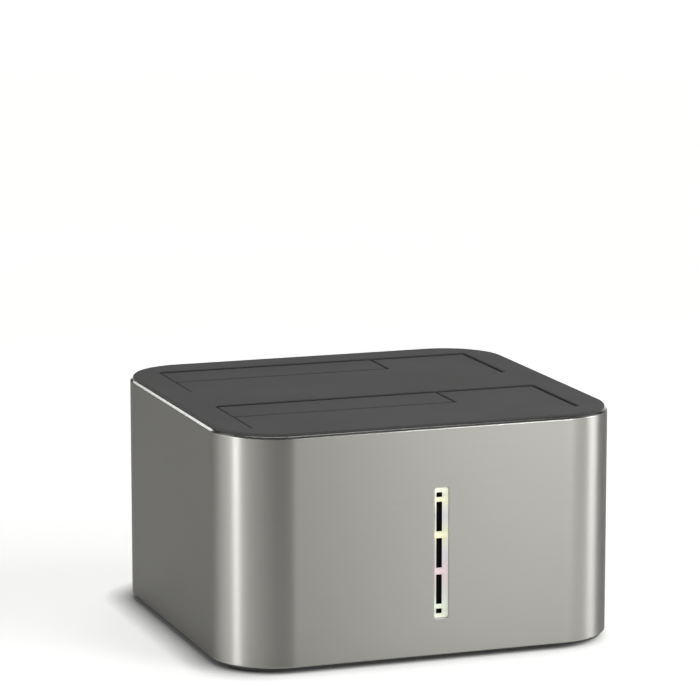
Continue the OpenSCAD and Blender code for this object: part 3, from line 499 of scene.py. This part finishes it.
wireVerts, wireFaces = tube(wirePath(spring) * mm, spring["wire"] / 2 * mm, spring["sides"])
for bay in ("front", "rear"):
    for size, flip in (("small", 1), ("large", -1)):
        flap = f"{bay}_{size}_flap"
        low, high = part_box(f"{bay}_{size}_spring")
        pin = Vector(joints[flap]["pos_m"])
        centre = np.array([(low.x + high.x) / 2, pin.y, pin.z])
        verts = centre + wireVerts * np.array([1, flip, 1])
        faces = [f[::flip] for f in wireFaces]  # a mirrored coil turns its faces round
        wire = meshObject(f"{bay}_{size}_coil", verts, faces)
        wire.data.materials.append(springSteel)
        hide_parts(f"{bay}_{size}_spring")
        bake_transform(wire)
        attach(wire, "housing")
print("springs wound")


# Carried-over CAD pieces take the finish of what they are made of
finish = {
    coverPlastic: ["top_cover", "front_large_flap", "front_small_flap", "rear_large_flap", "rear_small_flap"],
    innerPlastic: ["base_plate", "front_bay_well", "rear_bay_well", "front_drive_socket", "rear_drive_socket",
                   "board_header", "light_header", "rear_panel", "power_inlet", "data_tongue"],
    rubberBlack: ["rubber_feet"],
    turnedSteel: ["tie_posts", "front_large_pin", "front_small_pin", "rear_large_pin", "rear_small_pin",
                  "inlet_pin", "data_socket", "crystal"],
    screwSteel: ["base_screws", "well_screws", "connector_screws", "main_screws"],
    boardGreen: ["connector_board", "main_board", "light_board"],
    contactGold: ["front_contacts", "rear_contacts"],
    chipPlastic: ["bridge_chip", "copy_chip", "memory_chip", "power_coils", "power_switch", "copy_switch"],
    canMetal: ["capacitors"],
    lampGlow: ["status_lights"],
    guideGlow: ["light_guide"],
    maskBlack: ["light_mask"],
    buttonPlastic: ["power_button", "copy_button"],
}
for m, names in finish.items():
    for name in names:
        nodes[name].data.materials.clear()
        nodes[name].data.materials.append(m)
print("finishes on")


# Floor: a wide pale sheet, white to the camera and in reflections; the lift grows with the distance in
# metres. Its contact shadow is painted: ambient occlusion about a normal tilted towards the light, which
# comes from the front right, darkens its colour and its lift, so the painted shadow leans away from that
# light
sheet = dict(reach=3.0, half=6.0, pale=(0.8, 0.8, 0.79, 1), paler=(0.82, 0.82, 0.81, 1), grain=60.0,
             rough=0.9, glow=(1.0, 1.0, 0.985, 1), shadow=grey(0.12), contact=0.01, contactSamples=16,
             lightFrom=(0.799, -0.399, 0.449), deep=0.38, fade=0.6,
             lift=[(0.3, 0.36), (0.6, 0.43), (0.8, 0.51), (1.04, 0.57), (1.36, 0.61), (1.8, 0.64),
                   (3.0, 0.66)])
corners = np.array([(-1, -1, 0), (1, -1, 0), (1, 1, 0), (-1, 1, 0)], float) * sheet["half"]
floor = meshObject("floor", corners, [(0, 1, 2, 3)])
floorWhite, tree, bsdf = newMaterial("floorWhite")
place = objectPlace(tree)
lean = add(tree, "ShaderNodeCombineXYZ", dict(enumerate(sheet["lightFrom"]))).outputs[0]
near = add(tree, "ShaderNodeAmbientOcclusion", {"Distance": sheet["contact"], "Normal": lean},
           samples=sheet["contactSamples"]).outputs["AO"]
shade = mathNode(tree, "POWER", mapRange(tree, near, sheet["deep"], 1.0), sheet["fade"])
paper = mixColour(tree, noise(tree, place, sheet["grain"], 4.0), sheet["pale"], sheet["paler"])
ray = add(tree, "ShaderNodeLightPath").outputs
mirrored = mathNode(tree, "MAXIMUM", ray["Is Glossy Ray"], ray["Is Transmission Ray"])
seen = mathNode(tree, "MAXIMUM", ray["Is Camera Ray"], mirrored)
far = add(tree, "ShaderNodeVectorMath", {0: place}, operation="LENGTH").outputs["Value"]
away = mathNode(tree, "DIVIDE", far, sheet["reach"])
lift = stops(tree, away, [(metres / sheet["reach"], level) for metres, level in sheet["lift"]]).outputs[0]
lift = mathNode(tree, "MULTIPLY", lift, shade)
feed(tree, bsdf, {"Base Color": mixColour(tree, shade, sheet["shadow"], paper),
                  "Roughness": sheet["rough"],
                  "Emission Color": sheet["glow"],
                  "Emission Strength": mathNode(tree, "MULTIPLY", seen, lift)})
floor.data.materials.append(floorWhite)

# Studio walls: their grey by compass direction, in degrees from the front towards the right, and a dark
# ceiling that takes over as the upward share of the direction goes through rise
studio = dict(peak=2.75, ceiling=0.05, rise=(0.45, 0.8),
              walls=[(-180, 0.0), (-150, 0.0), (-135, 0.65), (-120, 1.85), (-105, 2.65), (-90, 2.75),
                     (-75, 2.3), (-60, 1.65), (-45, 1.05), (-30, 0.55), (-15, 0.04), (10, 0.0), (16, 0.2),
                     (20, 1.4), (30, 2.1), (45, 2.3), (60, 1.75), (75, 1.05), (90, 0.55), (105, 0.2),
                     (120, 0.0), (135, 0.4), (150, 1.15), (165, 1.15), (180, 0.0)])
world = bpy.data.worlds.new("room")
scene.world = world
world.use_nodes = True
tree = world.node_tree
way = add(tree, "ShaderNodeSeparateXYZ", {0: add(tree, "ShaderNodeTexCoord").outputs["Generated"]}).outputs
turn = mathNode(tree, "ARCTAN2", way["X"], mathNode(tree, "MULTIPLY", way["Y"], -1.0))
around = mapRange(tree, turn, -math.pi, math.pi)
greys = [((degrees + 180) / 360, level / studio["peak"]) for degrees, level in studio["walls"]]
walls = stops(tree, around, greys)
walls.color_ramp.interpolation = "EASE"
up = mapRange(tree, way["Z"], *studio["rise"])
ceiling = grey(studio["ceiling"] / studio["peak"])
feed(tree, tree.nodes["Background"], {"Color": mixColour(tree, up, walls.outputs[0], ceiling),
                                      "Strength": studio["peak"]})


def aimed(at, target):
    return (Vector(target) - Vector(at)).to_track_quat("-Z", "Y").to_euler()


# Soft boxes, in metres and watts
softboxes = {
    "key": dict(at=(0.1, 0.3, 0.9), aim=(0, 0, 0.03), size=(0.6, 0.6), watts=2.3),
    "nearBox": dict(at=(0.15, -0.26, 0.25), aim=(0.05, -0.06, 0.06), size=(0.14, 0.08), watts=0.37),
    "leftStrip": dict(at=(-0.6, -0.085, 0.16), aim=(0, -0.05, 0.05), size=(0.1, 0.5), watts=1.35),
    "rightStrip": dict(at=(0.6, -0.15, 0.16), aim=(0.05, -0.05, 0.05), size=(0.2, 0.5), watts=1.85),
    "rimBox": dict(at=(-0.254, 0.829, 0.363), aim=(-0.0625, 0, 0.07), size=(0.14, 0.14), watts=0.1),
}
for name, box in softboxes.items():
    lamp = bpy.data.lights.new(name, "AREA")
    lamp.shape = "RECTANGLE"
    lamp.size, lamp.size_y = box["size"]
    lamp.energy = box["watts"]
    stand = bpy.data.objects.new(name, lamp)
    scene.collection.objects.link(stand)
    stand.location = box["at"]
    stand.rotation_euler = aimed(box["at"], box["aim"])
    stand.visible_camera = False
print("lights set")


# Camera: the photograph's own viewpoint
shot = dict(eye=(-0.36993, -1.02647, 0.27927), target=(-0.00125, 0.00917, 0.08236), sensor=36.0, lens=185.15)
view = bpy.data.cameras.new("view")
view.sensor_width = shot["sensor"]
view.lens = shot["lens"]
camera = bpy.data.objects.new("view", view)
scene.collection.objects.link(camera)
camera.location = shot["eye"]
camera.rotation_euler = aimed(shot["eye"], shot["target"])
scene.camera = camera
